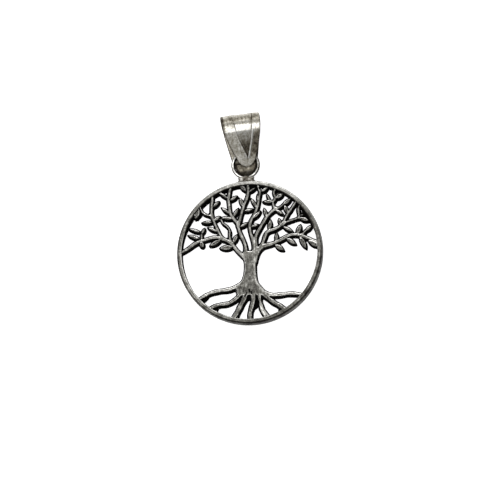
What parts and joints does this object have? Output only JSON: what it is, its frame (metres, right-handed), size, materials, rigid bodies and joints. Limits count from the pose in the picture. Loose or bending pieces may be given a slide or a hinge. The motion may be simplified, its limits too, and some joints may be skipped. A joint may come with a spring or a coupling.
{
  "type": "tree pendant",
  "caption": "Round pierced metal pendant with a spreading tree inside a plain rim, and a folded bail for a chain linked through a small ring at its top.",
  "frame": {"origin": "centre of the round disc, on its flat back, inside the tree's trunk", "axes": "+X to the right as the front is looked at with the bail up, +Y in the disc's plane towards the bail, +Z out of the decorated front"},
  "size_m": [0.025, 0.0367, 0.0052],
  "materials": {
    "oxidised_silver": "cast sterling silver, darkened in its recesses and rubbed bright on its edges",
    "bail_silver": "worn polished sterling silver strip with fine scratches"
  },
  "bodies": {
    "root": {"tree_disc": "oxidised_silver", "bail": "bail_silver"}
  },
  "joints": []
}
